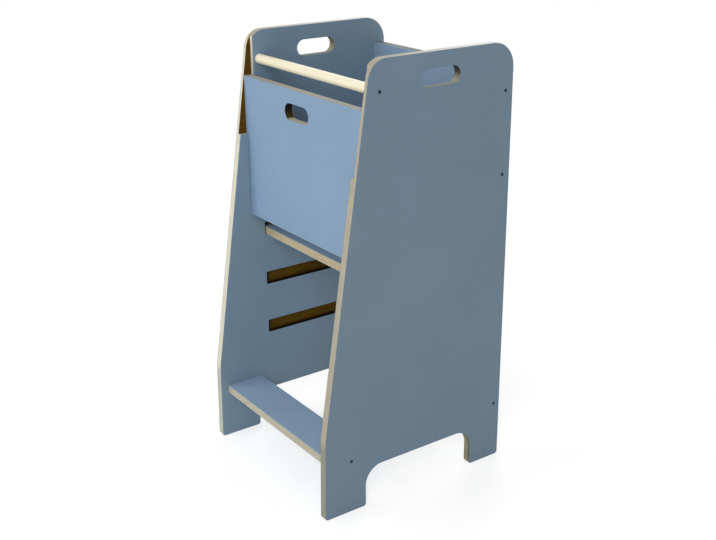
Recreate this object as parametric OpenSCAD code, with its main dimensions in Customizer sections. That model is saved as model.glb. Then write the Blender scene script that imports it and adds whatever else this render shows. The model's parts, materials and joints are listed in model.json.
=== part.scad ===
// Kitchen helper tower for a small child: two plywood sides joined by a back
// panel, a low step and two dowel rails. A standing platform slides into one of
// three pairs of slots from behind, and a safety gate drops into a pair of
// upright grooves at the front.
// Origin: centre of the footprint, on the floor. The front is -Y, up is +Z.

/* [Boards] */
// Thickness of every plywood board
board_t = 18; // [15:0.5:21]
// Clear width between the two side panels
inner_w = 400; // [320:1:460]

/* [Side panels] */
// Height of the side panels
side_h = 900; // [850:1:960]
// Depth of the side panels at the floor
side_depth = 452; // [420:1:500]
// How far the top of the front edge stands back from the front feet
top_setback = 112; // [80:1:125]
// Height of the bend in the front edge
bend_z = 175; // [140:1:260]
// How far the bend stands back from the front feet
bend_setback = 3; // [0:0.5:8]
// Radius of the top front corner
top_front_r = 40; // [20:1:48]
// Radius of the top rear corner
top_rear_r = 50; // [20:1:60]
// Radius at the corners of the feet
foot_r = 6; // [2:0.5:12]

/* [Arch between the feet] */
// Length of each front foot
front_foot = 98; // [70:1:120]
// Length of each rear foot
rear_foot = 80; // [60:1:110]
// Height of the arch
arch_h = 86; // [60:1:90]
// Radius of the arch's upper corners
arch_r = 40; // [15:1:55]

/* [Handle slots in the sides] */
// Length of a handle slot
handle_l = 94; // [80:1:120]
// Height of a handle slot
handle_h = 34; // [26:1:40]
// Distance of the slot's centre from the front feet
handle_y = 272; // [240:1:300]
// Distance of the slot's centre below the top edge
handle_drop = 48; // [40:1:60]

/* [Grooves and slots in the inner faces] */
// Depth of the gate groove and of the platform slots
groove_depth = 9; // [6:0.5:10]
// Distance of the gate groove's front wall from the front feet
groove_y = 98; // [94:0.5:100]
// Room between the gate and each long wall of its groove
gate_side_room = 0.5; // [0.3:0.05:0.8]
// Height above the groove's lower end from which its front is cut open
groove_open_rise = 178; // [150:1:220]
// Radius that the milling cutter leaves in closed corners
cutter_r = 3; // [2:0.25:4]
// Distance of the platform slots' closed ends from the front feet
slot_y = 130; // [128:1:140]
// Height of a platform slot
slot_h = 29; // [25:0.5:34]
// Height of the lowest slot's lower wall, as a share of the panels' height
slot_base_share = 0.25; // [0.235:0.005:0.265]
// Spacing of the slots, as a share of the panels' height
slot_pitch_share = 0.129; // [0.115:0.001:0.131]
// Number of slots
slot_count = 3; // [2:1:3]

/* [Platform] */
// How far the platform's rear edge stands in from the side panels' rear edge
platform_inset = 4; // [0:0.5:20]

/* [Safety gate] */
// Distance of the gate's top edge below the side panels' top edge
gate_drop = 91; // [80:1:110]
// Free height between the platform and the gate
gate_rise = 36; // [20:1:45]
// Length of the gate's handle hole
gate_hole_l = 85; // [70:1:110]
// Height of the gate's handle hole
gate_hole_h = 34; // [26:1:40]
// Distance of the hole's centre below the gate's top edge
gate_hole_drop = 45; // [35:1:60]
// How far the hole's centre lies to the right of the middle
gate_hole_shift = -9; // [-30:1:30]
// Room at each end of the gate, in the bottom of its groove
gate_end_room = 0.7; // [0.4:0.1:1.5]

/* [Back panel] */
// Height of the back panel
back_h = 248; // [200:1:280]
// Distance of its top edge below the side panels' top edge
back_drop = 54; // [40:1:70]
// How far it stands in from the side panels' rear edge
back_inset = 9; // [6:0.5:12]
// Distance of its screws from its top and bottom edges
back_screw_edge = 40; // [25:1:60]

/* [Step] */
// Depth of the step
step_depth = 87; // [75:1:92]
// Height of the step's upper face
step_top_z = 123; // [116:1:150]
// Distance of the step's front edge from the front feet
step_y = 19.5; // [14:0.5:26]
// Distance of each alignment pin from the step's screw
pin_offset = 28; // [20:1:32]

/* [Rails] */
// Diameter of the two dowel rails
rail_d = 20; // [18:0.5:22]
// Room between the gate and the front rail behind it
rail_gate_room = 5.5; // [3:0.5:12]
// Distance of the front rail's axis below the top edge
front_rail_drop = 59; // [50:1:70]
// Distance of the rear rail's axis from the rear edge
rear_rail_inset = 15.5; // [14:0.5:30]
// Height of the rear rail's axis
rear_rail_z = 126.5; // [110:0.5:160]

/* [Screws and pins] */
// Length of a screw, head included
screw_l = 50; // [40:1:70]
// Diameter of a screw's countersunk head
screw_head_d = 7; // [6:0.25:8]
// Height of the head's cone
screw_head_h = 3; // [2:0.25:4]
// Diameter of a screw's shank
screw_d = 4.5; // [4:0.25:5.5]
// Length of the screw's point
screw_tip_l = 4; // [2:0.5:6]
// Diameter at the end of the point
screw_tip_d = 1.5; // [1:0.25:2.5]
// Width across the flats of the head's hexagon socket
socket_w = 3; // [2:0.25:3.25]
// Depth of the socket
socket_depth = 2.2; // [1:0.1:2.5]
// Diameter of an alignment pin
pin_d = 8; // [6:0.5:9]
// Length of an alignment pin
pin_l = 30; // [24:1:40]
// Length of the pin that sits in the side panel
pin_in_side = 12; // [8:0.5:13]

/* [Fits] */
// Room between a sliding board and the walls that carry it
slide_gap = 0.3; // [0.2:0.05:0.5]
// Room round a screw or a pin in its hole
bore_gap = 0.1; // [0.05:0.05:0.2]
// Room past the end of a screw or a pin in its hole
bore_end_gap = 1; // [0.5:0.5:2]

/* [Hidden] */

$fn = 96;
// One overrun for every cut that runs out of a solid
cut = 2;
// How far an arc at a corner runs past both edges, so that it crosses them
arc_overrun = 0.01;
LEFT = -1;
RIGHT = 1;

inner_x = inner_w / 2;
outer_x = inner_x + board_t;
// The sketches below measure Y from the front feet, and this moves them
front_y = -side_depth / 2;

// Platform slots
slot_base_z = slot_base_share * side_h;
slot_pitch = slot_pitch_share * side_h;

// Gate and its groove
gate_t = board_t;
groove_w = gate_t + 2 * gate_side_room;
platform_z = slot_base_z + (slot_count - 1) * slot_pitch + slide_gap;
gate_z = platform_z + board_t + gate_rise;
gate_h = side_h - gate_drop - gate_z;
// A square gate edge rests on the rounded corners of the groove's lower end
corner_reach = max(0, cutter_r - gate_side_room);
gate_seat_rise = cutter_r - sqrt(cutter_r * cutter_r - corner_reach * corner_reach);
groove_z = gate_z - slide_gap - gate_seat_rise;
groove_open_z = groove_z + groove_open_rise;

// Platform
platform_y = slot_y + cutter_r + slide_gap;
platform_depth = side_depth - platform_inset - platform_y;
slider_w = inner_w + 2 * (groove_depth - gate_end_room);

// Fixed boards and rails
back_y = side_depth - back_inset - board_t;
back_z = side_h - back_drop - back_h;
step_z = step_top_z - board_t;
front_rail_y = groove_y + gate_side_room + gate_t + rail_gate_room + rail_d / 2;

// Places of the screws and pins in the sides, as [distance from the front feet, height]
front_rail_place = [front_rail_y, side_h - front_rail_drop];
rear_rail_place = [side_depth - rear_rail_inset, rear_rail_z];
step_place = [step_y + step_depth / 2, step_z + board_t / 2];
lower_back_place = [back_y + board_t / 2, back_z + back_screw_edge];
upper_back_place = [back_y + board_t / 2, back_z + back_h - back_screw_edge];
front_pin_place = step_place - [pin_offset, 0];
rear_pin_place = step_place + [pin_offset, 0];
SCREW_PLACES = [
    front_rail_place, rear_rail_place, step_place, lower_back_place, upper_back_place,
];
PIN_PLACES = [front_pin_place, rear_pin_place];

BLUE_GREY = "#68798A";
GATE_BLUE = "#87A1BE";
CROSS_BLUE = "#7690AC";
BARE_WOOD = "#F3E7C8";
BLACK_STEEL = "#26282B";
PIN_WOOD = "#DCC49A";

// What lies between a corner and the arc that rounds it
module corner_waste(before, corner, after, r) {
    a = (before - corner) / norm(before - corner);
    b = (after - corner) / norm(after - corner);
    half_angle = acos(max(-1, min(1, a * b))) / 2;
    start = r / tan(half_angle);
    out = (a + b) / norm(a + b);
    centre = corner + out * (r - arc_overrun) / sin(half_angle);
    difference() {
        polygon([corner + a * start, corner - out * cut, corner + b * start, centre]);
        translate(centre) circle(r);
    }
}

// An outline, walked anticlockwise, with an arc at each outward corner whose radius isn't 0
module rounded_outline(points, radii) {
    count = len(points);
    difference() {
        polygon(points);
        for (i = [0 : count - 1])
            if (radii[i] > 0)
                corner_waste(points[(i + count - 1) % count], points[i], points[(i + 1) % count], radii[i]);
    }
}

// A slot with round ends, centred
module stadium(length, height) {
    r = height / 2;
    square([length - height, height], center = true);
    for (side = [LEFT, RIGHT])
        translate([side * (length / 2 - r), 0]) circle(r);
}

// Stands a sketch of [distance from the front feet, height] up, growing along +X from x
module stand(x, thickness) {
    translate([x, front_y, 0]) rotate([90, 0, 90]) linear_extrude(thickness) children();
}

// Puts what is made for the right side on either side
module on_side(side) {
    if (side == RIGHT) children();
    else mirror([1, 0, 0]) children();
}

module side_outline() {
    arch_rear = side_depth - rear_foot;
    difference() {
        rounded_outline(
            [
                [0, 0], [side_depth, 0], [side_depth, side_h],
                [top_setback, side_h], [bend_setback, bend_z],
            ],
            [foot_r, foot_r, top_rear_r, top_front_r, 0]
        );
        rounded_outline(
            [
                [front_foot, -cut], [arch_rear, -cut],
                [arch_rear, arch_h], [front_foot, arch_h],
            ],
            [0, 0, arch_r, arch_r]
        );
        corner_waste([0, 0], [front_foot, 0], [front_foot, arch_h], foot_r);
        corner_waste([arch_rear, arch_h], [arch_rear, 0], [side_depth, 0], foot_r);
    }
}

// The gate's groove, which is cut open to the front edge above its lower part
module gate_groove_outline() {
    rear_wall = groove_y + groove_w;
    rounded_outline(
        [
            [groove_y, groove_z], [rear_wall, groove_z], [rear_wall, side_h + cut],
            [-cut, side_h + cut], [-cut, groove_open_z], [groove_y, groove_open_z],
        ],
        [cutter_r, cutter_r, 0, 0, 0, 0]
    );
}

// One platform slot, which runs out of the rear edge
module platform_slot_outline(z) {
    rounded_outline(
        [
            [slot_y, z], [side_depth + cut, z],
            [side_depth + cut, z + slot_h], [slot_y, z + slot_h],
        ],
        [cutter_r, 0, 0, cutter_r]
    );
}

// A screw along X, with its head's face at 0 and its point at -X
module screw_body(gap = 0, end_gap = 0) {
    straight_l = screw_l - screw_head_h - screw_tip_l;
    rotate([0, -90, 0]) {
        cylinder(h = screw_head_h, d1 = screw_head_d + 2 * gap, d2 = screw_d + 2 * gap);
        translate([0, 0, screw_head_h])
            cylinder(h = straight_l, d = screw_d + 2 * gap);
        translate([0, 0, screw_head_h + straight_l])
            cylinder(h = screw_tip_l + end_gap, d1 = screw_d + 2 * gap, d2 = screw_tip_d + 2 * gap);
    }
}

module screw(place, side) {
    color(BLACK_STEEL)
    on_side(side)
    translate([outer_x, front_y + place[0], place[1]])
    difference() {
        screw_body();
        translate([-socket_depth, 0, 0]) rotate([0, 90, 0])
            cylinder(h = socket_depth + cut, d = socket_w / cos(30), $fn = 6);
    }
}

// Holes for the screws at these places, in whichever solid they cross
module screw_holes(places) {
    for (side = [LEFT, RIGHT])
        on_side(side)
        for (place = places)
            translate([outer_x, front_y + place[0], place[1]]) {
                screw_body(bore_gap, bore_end_gap);
                translate([-bore_gap, 0, 0]) rotate([0, 90, 0])
                    cylinder(h = cut, d = screw_head_d + 2 * bore_gap);
            }
}

module pin(place, side) {
    color(PIN_WOOD)
    on_side(side)
    translate([inner_x + pin_in_side, front_y + place[0], place[1]])
    rotate([0, -90, 0])
        cylinder(h = pin_l, d = pin_d);
}

// Holes for the pins, a little longer than the pins at both ends
module pin_holes(places) {
    for (side = [LEFT, RIGHT])
        on_side(side)
        for (place = places)
            translate([inner_x + pin_in_side + bore_end_gap, front_y + place[0], place[1]])
            rotate([0, -90, 0])
                cylinder(h = pin_l + 2 * bore_end_gap, d = pin_d + 2 * bore_gap);
}

module side_panel(side) {
    color(BLUE_GREY)
    difference() {
        on_side(side) difference() {
            stand(inner_x, board_t) difference() {
                side_outline();
                translate([handle_y, side_h - handle_drop]) stadium(handle_l, handle_h);
            }
            stand(inner_x - cut, groove_depth + cut) gate_groove_outline();
            for (i = [0 : slot_count - 1])
                stand(inner_x - cut, groove_depth + cut)
                    platform_slot_outline(slot_base_z + i * slot_pitch);
        }
        screw_holes(SCREW_PLACES);
        pin_holes(PIN_PLACES);
    }
}

// A plain board between the sides, drilled for its screws and pins
module cross_board(y, z, depth, height) {
    difference() {
        translate([-inner_x, front_y + y, z]) cube([inner_w, depth, height]);
        screw_holes(SCREW_PLACES);
        pin_holes(PIN_PLACES);
    }
}

module back_panel() {
    color(CROSS_BLUE) cross_board(back_y, back_z, board_t, back_h);
}

module step_board() {
    color(CROSS_BLUE) cross_board(step_y, step_z, step_depth, board_t);
}

module platform() {
    color(BLUE_GREY)
    translate([-slider_w / 2, front_y + platform_y, platform_z])
        cube([slider_w, platform_depth, board_t]);
}

module safety_gate() {
    color(GATE_BLUE)
    translate([0, front_y + groove_y + gate_side_room + gate_t, gate_z])
    rotate([90, 0, 0]) linear_extrude(gate_t) difference() {
        translate([-slider_w / 2, 0]) square([slider_w, gate_h]);
        translate([gate_hole_shift, gate_h - gate_hole_drop]) stadium(gate_hole_l, gate_hole_h);
    }
}

module rail(place) {
    color(BARE_WOOD)
    difference() {
        translate([-inner_x, front_y + place[0], place[1]]) rotate([0, 90, 0])
            cylinder(h = inner_w, d = rail_d);
        screw_holes(SCREW_PLACES);
    }
}

side_panel(LEFT);  // left_side_panel
side_panel(RIGHT);  // right_side_panel
back_panel();
step_board();
platform();
safety_gate();
rail(front_rail_place);  // front_rail
rail(rear_rail_place);  // rear_rail
screw(front_rail_place, LEFT);  // left_front_rail_screw
screw(front_rail_place, RIGHT);  // right_front_rail_screw
screw(rear_rail_place, LEFT);  // left_rear_rail_screw
screw(rear_rail_place, RIGHT);  // right_rear_rail_screw
screw(step_place, LEFT);  // left_step_screw
screw(step_place, RIGHT);  // right_step_screw
screw(upper_back_place, LEFT);  // left_upper_back_screw
screw(upper_back_place, RIGHT);  // right_upper_back_screw
screw(lower_back_place, LEFT);  // left_lower_back_screw
screw(lower_back_place, RIGHT);  // right_lower_back_screw
pin(front_pin_place, LEFT);  // left_front_step_pin
pin(front_pin_place, RIGHT);  // right_front_step_pin
pin(rear_pin_place, LEFT);  // left_rear_step_pin
pin(rear_pin_place, RIGHT);  // right_rear_step_pin
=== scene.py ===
"""Looks of the kitchen helper tower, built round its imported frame.

Every length is in metres, in the frame's own axes: +Z up, -Y the front with the gate and the step,
origin at the centre of the footprint. Every colour is linear. A tuple that follows the value in a call of
Graph.span is the range that it maps from and, where it has four numbers, the range that it maps to. A
dictionary with a scale is a noise, as Graph.noise takes it.
"""

import json
import math

import bmesh
import bpy
from mathutils import Matrix, Vector

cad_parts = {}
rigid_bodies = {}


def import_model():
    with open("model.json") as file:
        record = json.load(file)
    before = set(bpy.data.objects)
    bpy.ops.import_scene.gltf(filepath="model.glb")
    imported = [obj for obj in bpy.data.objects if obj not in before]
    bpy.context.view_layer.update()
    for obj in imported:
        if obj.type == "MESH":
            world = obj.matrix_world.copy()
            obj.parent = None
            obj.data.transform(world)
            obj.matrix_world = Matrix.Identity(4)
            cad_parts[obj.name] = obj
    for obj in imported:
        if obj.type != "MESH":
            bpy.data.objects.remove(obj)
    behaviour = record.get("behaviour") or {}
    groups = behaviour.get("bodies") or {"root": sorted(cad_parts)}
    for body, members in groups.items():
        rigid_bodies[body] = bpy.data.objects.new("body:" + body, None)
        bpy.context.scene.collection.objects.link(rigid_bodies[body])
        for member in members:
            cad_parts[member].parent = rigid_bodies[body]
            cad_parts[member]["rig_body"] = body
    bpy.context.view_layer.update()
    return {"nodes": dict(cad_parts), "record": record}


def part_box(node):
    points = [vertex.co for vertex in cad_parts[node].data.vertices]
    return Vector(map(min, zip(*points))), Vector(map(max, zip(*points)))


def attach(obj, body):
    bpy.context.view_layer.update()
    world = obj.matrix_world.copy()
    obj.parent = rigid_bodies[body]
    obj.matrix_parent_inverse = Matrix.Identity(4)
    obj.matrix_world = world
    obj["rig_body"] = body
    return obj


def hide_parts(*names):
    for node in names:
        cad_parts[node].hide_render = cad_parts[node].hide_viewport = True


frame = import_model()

MM = 0.001
X, Y, Z = 0, 1, 2
# The two inputs and the output that Blender's Mix node has for each kind of value
MIX_SOCKETS = {"FLOAT": (2, 3, 0), "VECTOR": (4, 5, 1), "RGBA": (6, 7, 2)}

# The photograph's camera, fitted to the straight edges of the tower, with its angles in degrees
IMAGE_W = 716
FOCAL_PX = 1093.9
SENSOR = 36.0
CAMERA_PLACE = Vector((1.7629, -1.2336, 1.2421))
CAMERA_YAW, CAMERA_PITCH, CAMERA_ROLL = 54.80, -21.04, -0.42

# Build of a board: a coloured laminate on both faces of a plywood core, with a thin dark line under each
SKIN_T = 0.6 * MM
GLUE_T = 0.16 * MM
SKIN_LINE_T = 1.5 * GLUE_T
PLIES = 13

# Easing of the boards' sharp edges, which leaves out those that lie within SCREW_REACH of a screw's axis
EASE_R = 0.5 * MM
EASE_STEPS = 3
SCREW_REACH = 5 * MM
WELD_DISTANCE = 0.001 * MM
# Angles below which two faces are taken for one plane, above which their edge is eased, and below which
# they are shaded as one, and the weight of the larger faces in that shading
FLAT_ANGLE, SHARP_ANGLE, SMOOTH_ANGLE = math.radians(0.2), math.radians(30), math.radians(40)
NORMAL_WEIGHT = 90

# Room between the box that the record keeps open in a platform slot and the slot's long walls or its closed
# end, and more than the room between such a box in a handle hole and the wall of the hole
SLOT_ROOM, SLOT_END_ROOM, HOLE_ROOM = 1 * MM, 3.5 * MM, 15 * MM
HAIR = 0.05 * MM
# A face is taken to run along an axis if its normal has less than this on it
ALONGSIDE = 0.5

# Laminates: one blue, painted lighter or darker from board to board for the light that each gets. The boards
# across the tower are paler than the gate, as painted light where they lie in shade, and the sides darker,
# as painted shade. The inner faces of the sides are paler than the outer ones, painted light on faces in
# shade.
SIDE_BLUE = (0.128, 0.190, 0.249)
SIDE_INNER_LIT_BLUE = (0.157, 0.232, 0.303)
CROSS_BLUE = (0.244, 0.345, 0.474)
GATE_BLUE = (0.183, 0.282, 0.406)
CLOUD = {"scale": 5.5, "detail": 3.0, "rough": 0.5}
MOTTLE = {"scale": 90.0, "detail": 4.0, "rough": 0.6}
SPECK = {"scale": 1500.0, "detail": 2.0, "rough": 0.5}
CLOUD_SHADE = (0.3, 0.7, 0.955, 1.035)
MOTTLE_SHADE = (0.3, 0.7, -0.022, 0.022)
SPECK_SHADE = (0.3, 0.7, -0.02, 0.02)
SMEARS = {"scale": 22.0, "detail": 4.0, "rough": 0.65}
SKIN_ROUGH = (0.3, 0.75, 0.47, 0.57)
SKIN_RELIEF = 0.010 * MM
MOTTLE_RELIEF = 0.35
BOARD_SPECULAR, HOLE_SPECULAR = 0.5, 0.03

# Plywood: its colours, the cells of its grain to the metre along and across the fibres, and how many cells
# the grain of a ply is moved at most, so that no two plies look alike
PLY_LIGHT = (0.50, 0.47, 0.37)
PLY_DARK = (0.33, 0.284, 0.20)
GLUE_BROWN = (0.15, 0.105, 0.065)
ALONG_GRAIN, ACROSS_GRAIN = 14.0, 420.0
PLY_OFFSET = 37.0
FIBRE = {"scale": 1.0, "detail": 5.0, "rough": 0.62, "distortion": 0.3}
PORES = {"scale": 4.2, "detail": 2.0, "rough": 0.5}
FIBRE_TONE = (0.30, 0.72)
PLY_TONE = (0.0, 1.0, -0.10, 0.14)
END_GRAIN_DARK = 0.42
PORES_SEEN = (0.60, 0.72)
PORES_ALONG, PORES_ACROSS = 0.12, 0.40
GLUE_SHARE, SKIN_LINE_SHARE = 0.75, 0.6
PLY_ROUGH = (0.3, 0.7, 0.70, 0.82)
SAWN_RELIEF = 0.07 * MM
GLUE_RELIEF = -0.8
# How much paler or warmer than the rest the plies of some edges are
STEP_TINT = (1.10, 1.16, 1.20)
# The platform's edges are paler and warmer as painted light, against the shade and blue bounce under the
# gate
PLATFORM_LIT_TINT = (1.16, 1.10, 0.95)
RIGHT_TINT = (0.94, 0.965, 1.0)
GATE_HOLE_TINT = (1.12, 1.24, 1.30)

# Painted shade on the edges that face up, for the weak light from above: how far up they have to face to
# have any and to have all of it, its share on each board, and how it varies from place to place
SHADED_UP = (0.75, 0.97)
SIDE_UP_SHADE, GATE_UP_SHADE, BACK_UP_SHADE, TREAD_UP_SHADE, HANDLE_UP_SHADE = 0.16, 0.50, 1.0, 0.40, 0.85
UP_SHADE_GREY = (0.244, 0.270, 0.254)
BACK_UP_SHADE_GREY = (0.098, 0.102, 0.091)
PATCHES = {"scale": 60.0, "detail": 4.0}
PATCH_SHARE = (0.3, 0.7, 0.8, 1.2)

# Painted shade on the edges of the feet, darker towards the floor: the heights where it sets in and is full,
# its share on the front and the rear feet, where these stand along Y, and a painted shadow line along the
# outer laminate of the rear feet, which sets in and is full at these shares of the board's thickness
FOOT_HEIGHTS = (175 * MM, 157.5 * MM)
FOOT_SHADE = (0.45, 0.70)
FOOT_PLACES = (-100 * MM, 100 * MM)
FOOT_SHADE_GREY = (0.115, 0.140, 0.126)
FOOT_SHADE_BROWN = (0.152, 0.130, 0.062)
FOOT_SHADOW_LINE = (0.020, 0.020, 0.015)
RIM_DEPTH_SHARES = (0.62, 0.9)
RIM_SHARE = 0.8

# The top edges of the sides are painted paler towards the rear, a painted highlight: how far up they have to
# face, and where along Y this begins and is most, with its share there
HIGHLIGHT_UP = (0.75, 0.95)
TOP_HIGHLIGHT = (-60 * MM, 130 * MM, 0.0, 0.75)
TOP_HIGHLIGHT_PALE = (0.80, 0.80, 0.77)
# The front edge of the left side has a painted highlight where it faces this far to the front
HIGHLIGHT_FRONT = (-0.75, -0.95)
FRONT_HIGHLIGHT_TINT = (1.64, 1.76, 1.93)

# Walls of the handle holes, with painted shade where they face down: how far up they have to face to be free
# of it and to have it in full, how much that is, and the colour from where they stand upright on. It is
# paler where they still face up.
LEFT_HOLE = {"facing_up": (0.78, -0.12), "share": 0.55, "burnt": (0.022, 0.020, 0.014)}
RIGHT_HOLE = {**LEFT_HOLE, "share": 0.92}
GATE_HOLE = {"facing_up": (0.97, 0.78), "share": 1.0, "burnt": (0.010, 0.004, 0.001)}
UPRIGHT = 0.0
HOLE_SHADE_PALE = (0.075, 0.038, 0.006)
HOLE_SHADE_GRAIN = (0.25, 0.6, 0.93, 1.0)

# Floors and walls of the milled grooves and slots: dark brown wood on the floors and near black on the
# walls, both darkened as painted shade in these recesses
MILLED_BROWN = (0.112, 0.060, 0.004)
MILLED_DARK = (0.042, 0.020, 0.002)
WALL_BROWN = (0.013, 0.006, 0.002)
WALL_DARK = (0.004, 0.002, 0.001)
MILLED_CELLS = (300.0, 24.0, 300.0)
MILLED_FIBRE = {"scale": 1.0, "detail": 5.0, "rough": 0.6, "distortion": 0.4}
MILLED_CLOUD = {"scale": 26.0, "detail": 3.0}
MILLED_FIBRE_TONE = (0.3, 0.72, 0.0, 0.75)
MILLED_CLOUD_TONE = (0.35, 0.65, 0.0, 0.25)
MILLED_ROUGH = (0.3, 0.7, 0.72, 0.85)
MILLED_RELIEF = 0.06 * MM
MILLED_SPECULAR = 0.08
# The bands of painted shade along the lower wall and at the closed end of a platform slot: their widths,
# their shares at the wall, and the most that either reaches
SLOT_FOOT_W, SLOT_END_W = 6 * MM, 14 * MM
SLOT_FOOT_SHARE, SLOT_END_SHARE, SLOT_SHARE_MOST = 0.85, 1.3, 0.85

# Turned wood of the rails and pins, with its grain along X
RAIL_PALE = (0.84, 0.79, 0.62)
RAIL_DEEP = (0.73, 0.65, 0.455)
RAIL_COAT = 0.25
PIN_PALE = (0.66, 0.47, 0.28)
PIN_DEEP = (0.528, 0.376, 0.224)
PIN_COAT = 0.0
COAT_ROUGH = 0.35
RING_CELLS = (5.0, 190.0, 190.0)
RINGS = {"scale": 1.0, "detail": 3.0, "rough": 0.5, "distortion": 0.7}
RING_TONE = (0.28, 0.7, 0.0, 0.8)
THREAD_CELLS = (60.0, 2400.0, 2400.0)
THREADS = {"scale": 1.0, "detail": 3.0, "rough": 0.6}
THREAD_TONE = (0.3, 0.7, 0.0, 0.2)
FLECKS = {"scale": 0.6, "detail": 1.0}
FLECK_SHARE = (0.62, 0.74, 0.0, 0.6)
FLECK_DARK = 0.72
TURNED_ROUGH = (0.3, 0.7, 0.42, 0.55)
TURNED_RELIEF = 0.03 * MM

# Black steel of the screws, brighter where it is rubbed
STEEL_BLACK = (0.011, 0.012, 0.014)
STEEL_RUBBED = (0.0352, 0.0384, 0.0448)
GRIT = {"scale": 2600.0, "detail": 3.0}
RUBBED = {"scale": 900.0, "detail": 2.0}
RUBBED_SHARE = (0.55, 0.75, 0.0, 0.35)
STEEL_ROUGH = (0.3, 0.7, 0.32, 0.5)
STEEL_RELIEF = 0.01 * MM
STEEL_SPECULAR = 0.35

# Floor. It lies a hair below the feet, so that no two faces are in one plane.
WHITE = (1.0, 1.0, 1.0)
FLOOR_HALF = 9.0
FLOOR_DROP = 0.1 * MM
FLOOR_GREY = (0.90, 0.90, 0.90)
# Share and strength of the plain white in the floor that the camera sees, where the rest takes light and
# shadow, and how far from the middle it turns all white
GLOW_SHARE = 0.55
GLOW = 1.22
FADE_FROM, FADE_TO = 0.9, 3.2

# Light: the world's strength on the object and where the camera sees it, the point that the lamps face, and
# the name, place, width and power of each
AMBIENT, SEEN_SKY = 0.25, 1.0
MIDDLE = Vector((0.0, 0.0, 0.5))
LAMPS = (
    ("front_left", (-3.4, -7.4, 4.9), 5.5, 265.0),
    ("front_right", (5.3, -4.4, 4.4), 3.7, 255.0),
    ("low_right", (4.4, -4.4, 1.5), 2.4, 63.0),
    ("rear_left", (-5.0, 4.6, 4.2), 4.0, 200.0),
    ("top", (0.0, -0.7, 7.6), 6.9, 130.0),
)


class Graph:
    """Short names for the shader nodes that the materials and the world are made of."""

    def __init__(self, owner):
        owner.use_nodes = True
        self.owner = owner
        self.tree = owner.node_tree

    def put(self, socket, value):
        """Link another node's output to this socket, or set the socket's own value."""
        if isinstance(value, bpy.types.NodeSocket):
            self.tree.links.new(value, socket)
        elif isinstance(value, tuple) and len(value) == 3 and socket.type == "RGBA":
            socket.default_value = (*value, 1.0)
        else:
            socket.default_value = value

    def node(self, kind, out=0, inputs=None, **settings):
        """The output `out` of a new node with these settings and inputs."""
        made = self.tree.nodes.new(kind)
        for key, value in settings.items():
            setattr(made, key, value)
        for key, value in (inputs or {}).items():
            self.put(made.inputs[key], value)
        return made.outputs[out]

    def math(self, operation, *values, clamp=False):
        inputs = dict(enumerate(values))
        return self.node("ShaderNodeMath", operation=operation, use_clamp=clamp, inputs=inputs)

    def times(self, product, *others):
        for other in others:
            product = self.math("MULTIPLY", product, other)
        return product

    def mix(self, share, a, b, kind="RGBA", blend="MIX"):
        """a at share 0, and b, or a blended with b, at share 1."""
        first, second, out = MIX_SOCKETS[kind]
        inputs = {"Factor": share, first: a, second: b}
        return self.node("ShaderNodeMix", out=out, data_type=kind, blend_type=blend, inputs=inputs)

    def lerp(self, share, a, b):
        """A number that is a at share 0 and b at share 1."""
        return self.mix(share, a, b, kind="FLOAT")

    def tinted(self, color, tint):
        return self.mix(1.0, color, tint, blend="MULTIPLY")

    def span(self, value, low, high, to_low=0.0, to_high=1.0, **settings):
        """value from low to high, read off as to_low to to_high and held there beyond."""
        inputs = {0: value, 1: low, 2: high, 3: to_low, 4: to_high}
        return self.node("ShaderNodeMapRange", inputs=inputs, **settings)

    def vector(self, x, y, z):
        return self.node("ShaderNodeCombineXYZ", inputs={X: x, Y: y, Z: z})

    def split(self, vector):
        """The three numbers of a vector."""
        return self.node("ShaderNodeSeparateXYZ", inputs={0: vector}).node.outputs

    def noise(self, vector, scale, detail, rough=0.5, distortion=0.0):
        amounts = {"Scale": scale, "Detail": detail, "Roughness": rough, "Distortion": distortion}
        return self.node("ShaderNodeTexNoise", inputs={"Vector": vector, **amounts})

    def bump(self, height, depth):
        return self.node("ShaderNodeBump", inputs={"Height": height, "Distance": depth})


class MaterialGraph(Graph):
    """The graph of a new material, with the place in the object's own coordinates and its three numbers."""

    def __init__(self, name):
        super().__init__(bpy.data.materials.new(name))
        self.place = self.node("ShaderNodeTexCoord", out="Object")
        self.axes = self.split(self.place)

    def stretched(self, cells):
        """The place, counted in so many cells to the metre along each axis."""
        return self.vector(*(self.times(self.axes[axis], cells[axis]) for axis in (X, Y, Z)))

    def finish(self, color, roughness, relief, plain):
        """The material, with `plain` as further values of the shader's own sockets."""
        shader = self.tree.nodes["Principled BSDF"]
        inputs = {"Base Color": color, "Roughness": roughness, "Normal": relief, **plain}
        for key, value in inputs.items():
            self.put(shader.inputs[key], value)
        return self.owner


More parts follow.
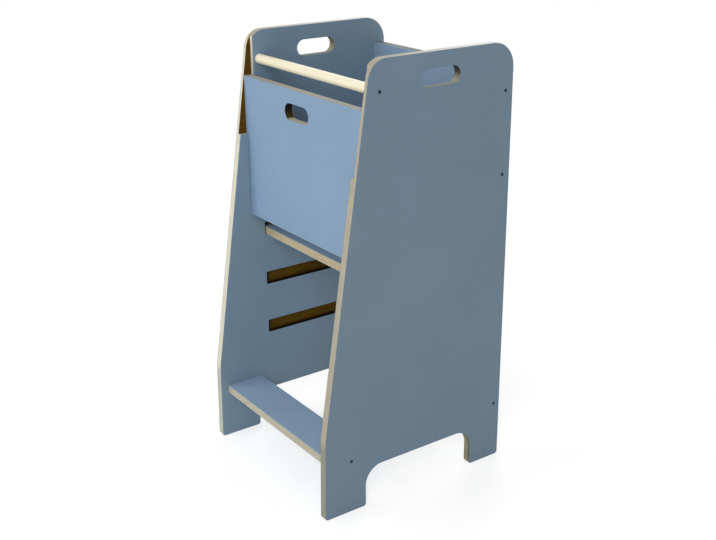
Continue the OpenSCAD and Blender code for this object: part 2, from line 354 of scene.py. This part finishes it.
class BoardGraph(MaterialGraph):
    """The graph of a laminated plywood board. It is a solid texture: the skins, plies and glue lines lie at
    their real depths along the axis `across`, so that each edge, hole and groove cuts through them. A
    method that takes the wood's colour gives it back with painted light or shade on it, or between the
    skins."""

    def __init__(self, name, across, low, thickness, mirrored=False):
        super().__init__(name)
        self.facing = self.split(self.node("ShaderNodeNewGeometry", out="True Normal"))
        height = self.math("ABSOLUTE", self.axes[across]) if mirrored else self.axes[across]
        self.depth = self.math("SUBTRACT", height, low)
        self.thickness = thickness
        self.patches = self.span(self.noise(self.place, **PATCHES), *PATCH_SHARE)
        self.mottle = self.noise(self.place, **MOTTLE)
        self.speck = self.noise(self.place, **SPECK)
        self.in_skin = self.near_a_face(SKIN_T)
        self.lay_plies([axis for axis in (X, Y, Z) if axis != across])

    def near_a_face(self, reach):
        """1 where the place is less than this deep below either face of the board, and 0 elsewhere."""
        from_middle = self.math("ABSOLUTE", self.math("SUBTRACT", self.depth, 0.5 * self.thickness))
        return self.math("GREATER_THAN", from_middle, 0.5 * self.thickness - reach)

    def lay_plies(self, along):
        """The bare plies, whose grain runs along the two axes `along` in turn, and the glue between them."""
        plies_to_metre = PLIES / (self.thickness - 2 * SKIN_T)
        ply_place = self.times(self.math("SUBTRACT", self.depth, SKIN_T), plies_to_metre)
        ply = self.math("FLOOR", ply_place)
        turned = self.math("MODULO", self.math("ABSOLUTE", ply), 2.0)
        own = self.node("ShaderNodeTexWhiteNoise", noise_dimensions="1D", inputs={"W": ply})
        grain_u = self.times(self.axes[along[0]], self.lerp(turned, ALONG_GRAIN, ACROSS_GRAIN))
        grain_v = self.times(self.axes[along[1]], self.lerp(turned, ACROSS_GRAIN, ALONG_GRAIN))
        moved_u = self.math("ADD", grain_u, self.times(own, PLY_OFFSET))
        grain_at = self.vector(moved_u, grain_v, self.times(self.depth, ACROSS_GRAIN))
        self.fibre = self.noise(grain_at, **FIBRE)
        pores = self.noise(grain_at, **PORES)

        # A ply cut across its grain is darker and shows more of its pores
        end_grain = self.lerp(turned, *(self.math("ABSOLUTE", self.facing[axis]) for axis in along))
        tone = self.span(self.fibre, *FIBRE_TONE)
        tone = self.math("SUBTRACT", tone, self.times(end_grain, END_GRAIN_DARK))
        tone = self.math("ADD", tone, self.span(own, *PLY_TONE), clamp=True)
        wood = self.mix(tone, PLY_DARK, PLY_LIGHT)
        specks = self.times(self.span(pores, *PORES_SEEN), self.lerp(end_grain, PORES_ALONG, PORES_ACROSS))
        wood = self.mix(specks, wood, GLUE_BROWN)
        from_joint = self.math("PINGPONG", ply_place, 0.5)
        self.glue = self.span(from_joint, 0.0, 0.5 * GLUE_T * plies_to_metre, GLUE_SHARE, 0.0)
        self.wood = self.mix(self.glue, wood, GLUE_BROWN)

    # Painted shade on the edges that face up, varied from place to place
    def shaded_facing_up(self, wood, up_shade_color, share):
        faces_up = self.span(self.facing[Z], *SHADED_UP, 0.0, share)
        return self.mix(self.math("MULTIPLY", faces_up, self.patches, clamp=True), wood, up_shade_color)

    # Painted shade, darker towards the floor and at the rear, with a painted shadow line along the outer
    # laminate
    def shaded_at_the_feet(self, wood):
        low_down = self.span(self.axes[Z], *FOOT_HEIGHTS)
        rear = self.span(self.axes[Y], *FOOT_PLACES)
        foot_shade = self.times(low_down, self.lerp(rear, *FOOT_SHADE), self.patches)
        wood = self.mix(foot_shade, wood, self.mix(rear, FOOT_SHADE_GREY, FOOT_SHADE_BROWN))
        shadow_line = self.span(self.depth, *(share * self.thickness for share in RIM_DEPTH_SHARES))
        return self.mix(self.times(low_down, rear, shadow_line, RIM_SHARE), wood, FOOT_SHADOW_LINE)

    # Painted highlight on the top edges, paler towards the rear
    def highlighted_on_top(self, wood):
        share = self.times(self.span(self.facing[Z], *HIGHLIGHT_UP), self.span(self.axes[Y], *TOP_HIGHLIGHT))
        return self.mix(share, wood, TOP_HIGHLIGHT_PALE)

    # Painted highlight on the edges that face the front
    def highlighted_in_front(self, wood):
        front = self.span(self.facing[Y], *HIGHLIGHT_FRONT)
        return self.mix(front, wood, self.tinted(wood, FRONT_HIGHLIGHT_TINT))

    # Painted shade on the walls of a hole, darkest where they face down
    def shaded_in_hole(self, wood, facing_up, share, burnt):
        hole_shade = self.span(self.facing[Z], *facing_up, 0.0, share)
        hole_shade = self.times(hole_shade, self.span(self.fibre, *HOLE_SHADE_GRAIN))
        hole_shade_color = self.mix(self.span(self.facing[Z], facing_up[0], UPRIGHT), HOLE_SHADE_PALE, burnt)
        return self.mix(hole_shade, wood, hole_shade_color)

    def laminated(self, wood, laminate, inner):
        """The wood between two skins, with the thin dark line where each is glued on. Where a second colour
        is given, the skin of the board's lower half, its inner face, has it: the laminate made paler, as
        painted light on a face that lies in shade."""
        line = self.near_a_face(SKIN_T + SKIN_LINE_T)
        wood = self.mix(self.times(line, SKIN_LINE_SHARE), wood, GLUE_BROWN)
        shade = self.span(self.noise(self.place, **CLOUD), *CLOUD_SHADE)
        shade = self.math("ADD", shade, self.span(self.mottle, *MOTTLE_SHADE))
        shade = self.math("ADD", shade, self.span(self.speck, *SPECK_SHADE))
        if inner:
            laminate = self.mix(self.math("LESS_THAN", self.depth, 0.5 * self.thickness), laminate, inner)
        grey = self.node("ShaderNodeCombineColor", inputs={0: shade, 1: shade, 2: shade})
        return self.mix(self.in_skin, wood, self.tinted(laminate, grey))

    def roughness(self):
        skin_rough = self.span(self.noise(self.place, **SMEARS), *SKIN_ROUGH)
        return self.lerp(self.in_skin, self.span(self.fibre, *PLY_ROUGH), skin_rough)

    def relief(self):
        skin = self.math("ADD", self.times(self.mottle, MOTTLE_RELIEF), self.speck)
        sawn = self.math("ADD", self.fibre, self.times(self.glue, GLUE_RELIEF))
        bumps = self.bump(sawn, SAWN_RELIEF), self.bump(skin, SKIN_RELIEF)
        return self.mix(self.in_skin, *bumps, kind="VECTOR")


def board_material(
    name, laminate, build, wear, up_shade_color=UP_SHADE_GREY, tint=None, inner=None, of_side=False, front_highlight=False, hole=None
):
    """A laminated board, or the wall of a hole in one. A side gets painted shade at its feet and a painted
    highlight on its top edges towards the rear.
    """
    g = BoardGraph(name, **build)
    wood = g.tinted(g.wood, tint) if tint else g.wood
    wood = g.shaded_facing_up(wood, up_shade_color, wear)
    if of_side:
        wood = g.highlighted_on_top(g.shaded_at_the_feet(wood))
    if front_highlight:
        wood = g.highlighted_in_front(wood)
    if hole:
        wood = g.shaded_in_hole(wood, **hole)
    color = g.laminated(wood, laminate, inner)
    specular = HOLE_SPECULAR if hole else BOARD_SPECULAR
    return g.finish(color, g.roughness(), g.relief(), {"Specular IOR Level": specular})


def milled_material(name, deep, pale, slots=None):
    """Dark brown milled wood, darkened as painted shade in the recess. In the platform slots it is darker
    along the lower wall and at the closed end, painted shade in the slot's corners."""
    g = MaterialGraph(name)
    fibre = g.noise(g.stretched(MILLED_CELLS), **MILLED_FIBRE)
    cloud = g.noise(g.place, **MILLED_CLOUD)
    tone = g.math("ADD", g.span(fibre, *MILLED_FIBRE_TONE), g.span(cloud, *MILLED_CLOUD_TONE))
    color = g.mix(tone, deep, pale)
    if slots:
        # Painted shade along the lower wall and at the closed end of each slot
        pitch, half_height, end_y = slots["pitch"], slots["half_height"], slots["end_y"]
        turn = g.math("MODULO", g.math("ADD", g.axes[Z], pitch / 2 - slots["middle"]), pitch)
        above = g.math("SUBTRACT", turn, pitch / 2)
        foot = g.span(above, -half_height, SLOT_FOOT_W - half_height, SLOT_FOOT_SHARE, 0.0)
        end = g.span(g.axes[Y], end_y, end_y + SLOT_END_W, SLOT_END_SHARE, 0.0)
        burnt = g.math("MAXIMUM", foot, g.math("MINIMUM", end, SLOT_SHARE_MOST))
        color = g.mix(burnt, color, WALL_DARK)
    relief = g.bump(fibre, MILLED_RELIEF)
    return g.finish(color, g.span(fibre, *MILLED_ROUGH), relief, {"Specular IOR Level": MILLED_SPECULAR})


def turned_wood_material(name, deep, pale, coat):
    """Round bars of pale hardwood, with the grain along X."""
    g = MaterialGraph(name)
    rings = g.noise(g.stretched(RING_CELLS), **RINGS)
    threads_at = g.stretched(THREAD_CELLS)
    threads = g.noise(threads_at, **THREADS)
    color = g.mix(g.math("ADD", g.span(rings, *RING_TONE), g.span(threads, *THREAD_TONE)), deep, pale)
    flecks = g.span(g.noise(threads_at, **FLECKS), *FLECK_SHARE)
    color = g.mix(flecks, color, tuple(FLECK_DARK * part for part in deep))
    coating = {"Coat Weight": coat, "Coat Roughness": COAT_ROUGH}
    return g.finish(color, g.span(threads, *TURNED_ROUGH), g.bump(threads, TURNED_RELIEF), coating)


def steel_material(name):
    """Black steel, rubbed brighter in places."""
    g = MaterialGraph(name)
    grit = g.noise(g.place, **GRIT)
    rubbed = g.span(g.noise(g.place, **RUBBED), *RUBBED_SHARE)
    color = g.mix(rubbed, STEEL_BLACK, STEEL_RUBBED)
    relief = g.bump(grit, STEEL_RELIEF)
    return g.finish(color, g.span(grit, *STEEL_ROUGH), relief, {"Specular IOR Level": STEEL_SPECULAR})


nodes = frame["nodes"]
openings = {opening["name"]: opening["box_m"] for opening in frame["record"]["physics"]["openings"]}


def build_of(node, across, mirrored=False):
    """Where a board's layers lie: the axis across them, its lower end on the board, and the thickness. A
    mirrored board has a twin beyond the tower's middle, with the same layers."""
    low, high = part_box(node)
    thickness = high[across] - low[across]
    return {"across": across, "low": low[across], "thickness": thickness, "mirrored": mirrored}


def platform_slots():
    """The platform slots of a side: how far apart they are, the middle of the lowest, half their height, and
    where their closed ends lie."""
    low, high = openings["left_lowest_platform_slot"]
    next_low = openings["left_middle_platform_slot"][0]
    return {
        "pitch": next_low[Z] - low[Z],
        "middle": (low[Z] + high[Z]) / 2,
        "half_height": (high[Z] - low[Z]) / 2 + SLOT_ROOM,
        "end_y": low[Y] - SLOT_END_ROOM,
    }


# Materials
side_build = build_of("right_side_panel", X, mirrored=True)
gate_build = build_of("safety_gate", Y)
back_build = build_of("back_panel", Y)
step_build = build_of("step_board", Z)
platform_build = build_of("platform", Z)
slots = platform_slots()

side = {"laminate": SIDE_BLUE, "inner": SIDE_INNER_LIT_BLUE, "build": side_build}
outline = {"wear": SIDE_UP_SHADE, "of_side": True, **side}
left_board = board_material("left_board_ply", front_highlight=True, **outline)
right_board = board_material("right_board_ply", tint=RIGHT_TINT, **outline)
left_hole = board_material("left_hole_ply", wear=HANDLE_UP_SHADE, hole=LEFT_HOLE, **side)
right_hole = board_material("right_hole_ply", wear=HANDLE_UP_SHADE, hole=RIGHT_HOLE, **side)
gate_board = board_material("gate_board_ply", GATE_BLUE, gate_build, GATE_UP_SHADE)
gate_hole = board_material("gate_hole_ply", GATE_BLUE, gate_build, 0.0, tint=GATE_HOLE_TINT, hole=GATE_HOLE)
back_board = board_material("back_board_ply", CROSS_BLUE, back_build, BACK_UP_SHADE, up_shade_color=BACK_UP_SHADE_GREY)
step_board = board_material("step_board_ply", CROSS_BLUE, step_build, TREAD_UP_SHADE, tint=STEP_TINT)
platform_board = board_material(
    "platform_board_ply", CROSS_BLUE, platform_build, TREAD_UP_SHADE, tint=PLATFORM_LIT_TINT
)
groove_floor = milled_material("groove_floor", MILLED_DARK, MILLED_BROWN)
slot_floor = milled_material("slot_floor", MILLED_DARK, MILLED_BROWN, slots)
milled_wall = milled_material("milled_wall", WALL_DARK, WALL_BROWN)
rail_wood = turned_wood_material("rail_wood", RAIL_DEEP, RAIL_PALE, RAIL_COAT)
pin_wood = turned_wood_material("pin_wood", PIN_DEEP, PIN_PALE, PIN_COAT)
black_steel = steel_material("black_steel")

# The boards are made anew with eased edges, but for those at the screws
screw_boxes = [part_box(name) for name in nodes if name.endswith("_screw")]
screw_axes = [(low + high) / 2 for low, high in screw_boxes]


def put_in_scene(name, data):
    made = bpy.data.objects.new(name, data)
    bpy.context.scene.collection.objects.link(made)
    return made


def body_of(node):
    return nodes[node]["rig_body"]


def is_to_ease(edge):
    """Whether this is a sharp outer edge, and not at a screw."""
    if len(edge.link_faces) != 2 or not edge.is_convex or edge.calc_face_angle() <= SHARP_ANGLE:
        return False
    middle = (edge.verts[0].co + edge.verts[1].co) / 2
    return all(math.hypot(middle.y - axis.y, middle.z - axis.z) >= SCREW_REACH for axis in screw_axes)


def eased(node, materials, face_slot=None):
    """A copy of a board with its sharp outer edges rounded over, which stands for the CAD node."""
    bm = bmesh.new()
    bm.from_mesh(nodes[node].data)
    bmesh.ops.remove_doubles(bm, verts=bm.verts, dist=WELD_DISTANCE)
    bmesh.ops.dissolve_limit(bm, angle_limit=FLAT_ANGLE, verts=bm.verts, edges=bm.edges)
    bmesh.ops.recalc_face_normals(bm, faces=bm.faces)
    for face in bm.faces:
        face.smooth = True
        face.material_index = face_slot(face) if face_slot else 0
    bmesh.ops.bevel(
        bm, geom=[edge for edge in bm.edges if is_to_ease(edge)], affect="EDGES", offset=EASE_R,
        offset_type="OFFSET", segments=EASE_STEPS, profile=0.5, clamp_overlap=False, material=-1,
    )
    for edge in bm.edges:
        edge.smooth = edge.calc_face_angle(0) < SMOOTH_ANGLE
    mesh = bpy.data.meshes.new(node + "_eased")
    bm.to_mesh(mesh)
    bm.free()
    for material in materials:
        mesh.materials.append(material)
    piece = put_in_scene(node + "_eased", mesh)
    weighted = piece.modifiers.new("weighted_normals", "WEIGHTED_NORMAL")
    weighted.keep_sharp = True
    weighted.weight = NORMAL_WEIGHT
    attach(piece, body_of(node))
    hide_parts(node)


def is_hole_wall(face, opening, across):
    """Whether a face is of the wall round this opening, which goes through a board along `across`."""
    low, high = openings[opening]
    centre = face.calc_center_median()
    along = [axis for axis in (X, Y, Z) if axis != across]
    inside = all(low[axis] - HOLE_ROOM < centre[axis] < high[axis] + HOLE_ROOM for axis in along)
    return inside and abs(face.normal[across]) < ALONGSIDE


def side_face_slot(face):
    """Laminate and sawn edges are 0, the floor of the groove is 1, the walls of the platform slots are 2,
    the wall of the handle slot is 3 and the floors of the platform slots are 4. The right side has its
    handle slot where the left one has it, seen along X."""
    inner_x = side_build["low"]
    milled_x = inner_x + side_build["thickness"] / 2
    gate_back_y = gate_build["low"] + gate_build["thickness"]
    in_slot = face.calc_center_median().y > (gate_back_y + slots["end_y"]) / 2
    reach = [abs(vert.co.x) for vert in face.verts]
    if inner_x + HAIR < max(reach) < milled_x + HAIR:
        if min(reach) > inner_x + HAIR:
            return 4 if in_slot else 1
        if in_slot:
            return 2
    return 3 if is_hole_wall(face, "left_handle_slot", X) else 0


def gate_face_slot(face):
    """The wall of the gate's handle hole is 1, all else 0."""
    return 1 if is_hole_wall(face, "gate_handle_hole", Y) else 0


for hand, board, hole in (("left", left_board, left_hole), ("right", right_board, right_hole)):
    finishes = [board, groove_floor, milled_wall, hole, slot_floor]
    eased(hand + "_side_panel", finishes, face_slot=side_face_slot)
eased("back_panel", [back_board])
eased("step_board", [step_board])
# The record gives the platform the sides' slot, though it looks like the step
eased("platform", [platform_board])
eased("safety_gate", [gate_board, gate_hole], face_slot=gate_face_slot)

# The rails, pins and screws are the CAD nodes themselves
for name in nodes:
    for ending, material in (("_rail", rail_wood), ("_pin", pin_wood), ("_screw", black_steel)):
        if name.endswith(ending):
            nodes[name].data.materials[0] = material


def floor_material():
    """Near-white floor that keeps a soft shadow and turns plain white before it ends."""
    g = MaterialGraph("pale_floor")
    distance = g.node("ShaderNodeVectorMath", out=1, operation="LENGTH", inputs={0: g.place})
    far = g.span(distance, FADE_FROM, FADE_TO, interpolation_type="SMOOTHSTEP")
    seen = g.node("ShaderNodeLightPath", out="Is Camera Ray")
    share = g.times(seen, g.lerp(far, GLOW_SHARE, 1.0))
    diffuse = g.node("ShaderNodeBsdfDiffuse", inputs={"Color": FLOOR_GREY})
    glow = g.node("ShaderNodeEmission", inputs={"Color": WHITE, "Strength": g.lerp(far, GLOW, 1.0)})
    both = g.node("ShaderNodeMixShader", inputs={0: share, 1: diffuse, 2: glow})
    g.put(g.tree.nodes["Material Output"].inputs["Surface"], both)
    return g.owner


def plane(name, half, material):
    bm = bmesh.new()
    bmesh.ops.create_grid(bm, x_segments=1, y_segments=1, size=half)
    mesh = bpy.data.meshes.new(name)
    bm.to_mesh(mesh)
    bm.free()
    mesh.materials.append(material)
    return put_in_scene(name, mesh)


floor = plane("floor", FLOOR_HALF, floor_material())
floor.location.z = -FLOOR_DROP


def white_world():
    """A world that lights the tower softly, and that the camera and glossy surfaces see as plain white."""
    world = bpy.data.worlds.new("studio")
    g = Graph(world)
    camera_ray = g.node("ShaderNodeLightPath", out="Is Camera Ray")
    glossy_ray = g.node("ShaderNodeLightPath", out="Is Glossy Ray")
    strength = g.span(g.math("MAXIMUM", camera_ray, glossy_ray), 0.0, 1.0, AMBIENT, SEEN_SKY)
    background = g.tree.nodes["Background"]
    g.put(background.inputs["Color"], WHITE)
    g.put(background.inputs["Strength"], strength)
    return world


def lamp(name, place, width, power):
    light = bpy.data.lights.new(name, "AREA")
    light.shape = "DISK"
    light.size = width
    light.energy = power
    made = put_in_scene(name, light)
    made.location = place
    made.rotation_euler = (MIDDLE - Vector(place)).to_track_quat("-Z", "Y").to_euler()


bpy.context.scene.world = white_world()
for name, place, width, power in LAMPS:
    lamp(name, place, width, power)

# Camera
camera_data = bpy.data.cameras.new("camera")
camera_data.sensor_width = SENSOR
camera_data.lens = SENSOR * FOCAL_PX / IMAGE_W
camera = put_in_scene("camera", camera_data)
camera.matrix_world = (
    Matrix.Translation(CAMERA_PLACE)
    @ Matrix.Rotation(math.radians(CAMERA_YAW), 4, "Z")
    @ Matrix.Rotation(math.radians(90 + CAMERA_PITCH), 4, "X")
    @ Matrix.Rotation(math.radians(CAMERA_ROLL), 4, "Z")
)
bpy.context.scene.camera = camera
bpy.context.scene.view_settings.view_transform = "Standard"
